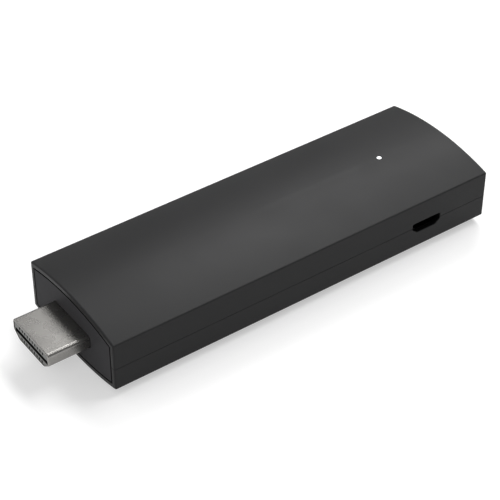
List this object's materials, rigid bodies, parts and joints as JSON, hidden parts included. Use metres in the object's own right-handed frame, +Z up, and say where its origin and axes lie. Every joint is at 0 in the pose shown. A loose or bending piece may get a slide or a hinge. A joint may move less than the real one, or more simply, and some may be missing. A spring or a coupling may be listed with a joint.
{
  "type": "streaming stick",
  "caption": "Slim television streaming stick: crowned two-shell housing with a male video plug at one end and a micro-B power port in one side.",
  "frame": {"origin": "under the middle of the whole stick, plug included, level with its lowest line", "axes": "+X from the video plug to the far end, +Y away from the power port's side, +Z up through the status light"},
  "size_m": [0.1062, 0.0318, 0.0158],
  "materials": {
    "housing": "fine spark-eroded matte black",
    "end_plate": "fine matte black, a little smoother than the housing",
    "plug_metal": "satin nickel plate",
    "carrier_plastic": "grey moulded insulator",
    "contact_metal": "gold-plated springs",
    "can_metal": "tinned sheet",
    "circuit_board": "dark solder mask",
    "chip_resin": "moulded resin",
    "thermal_pad": "soft pad",
    "spreader_metal": "plain",
    "screw_steel": "zinc plated",
    "port_plastic": "black insulator",
    "light_body": "white package with a clear lens",
    "clear_pipe": "clear light guide, lit white",
    "key_plastic": "plain moulded key",
    "ceramic": "fired ceramic"
  },
  "bodies": {
    "stick": {"top_shell": "housing", "bottom_shell": "housing", "front_cap": "end_plate", "plug_shell": "plug_metal", "plug_contact_carrier": "carrier_plastic", "plug_contacts_upper": "contact_metal", "plug_contacts_lower": "contact_metal", "plug_rear_cover": "can_metal", "main_board": "circuit_board", "board_screws": "screw_steel", "processor": "chip_resin", "memory_chips": "chip_resin", "flash_chip": "chip_resin", "shield_frame": "can_metal", "shield_lid": "can_metal", "thermal_pad_chip": "thermal_pad", "thermal_pad_lid": "thermal_pad", "heat_spreader": "spreader_metal", "wireless_module": "circuit_board", "wireless_cover": "can_metal", "aerial_left": "contact_metal", "aerial_right": "contact_metal", "usb_shell": "can_metal", "usb_tongue": "port_plastic", "usb_contacts": "contact_metal", "status_led": "light_body", "light_pipe": "clear_pipe", "reset_switch_base": "port_plastic", "reset_switch_cover": "can_metal", "reset_dome": "can_metal", "crystal": "can_metal", "power_inductors": "chip_resin", "capacitors": "ceramic"},
    "reset_key": {"reset_plunger": "key_plastic"}
  },
  "joints": [
    {"name": "reset_press", "type": "slide", "parent": "stick", "child": "reset_key", "axis": [0, -1, 0], "range_m": [0, 0.00025], "stiffness_N_per_m": 2000, "springref_m": -0.0002, "deforming": ["reset_dome"]}
  ]
}
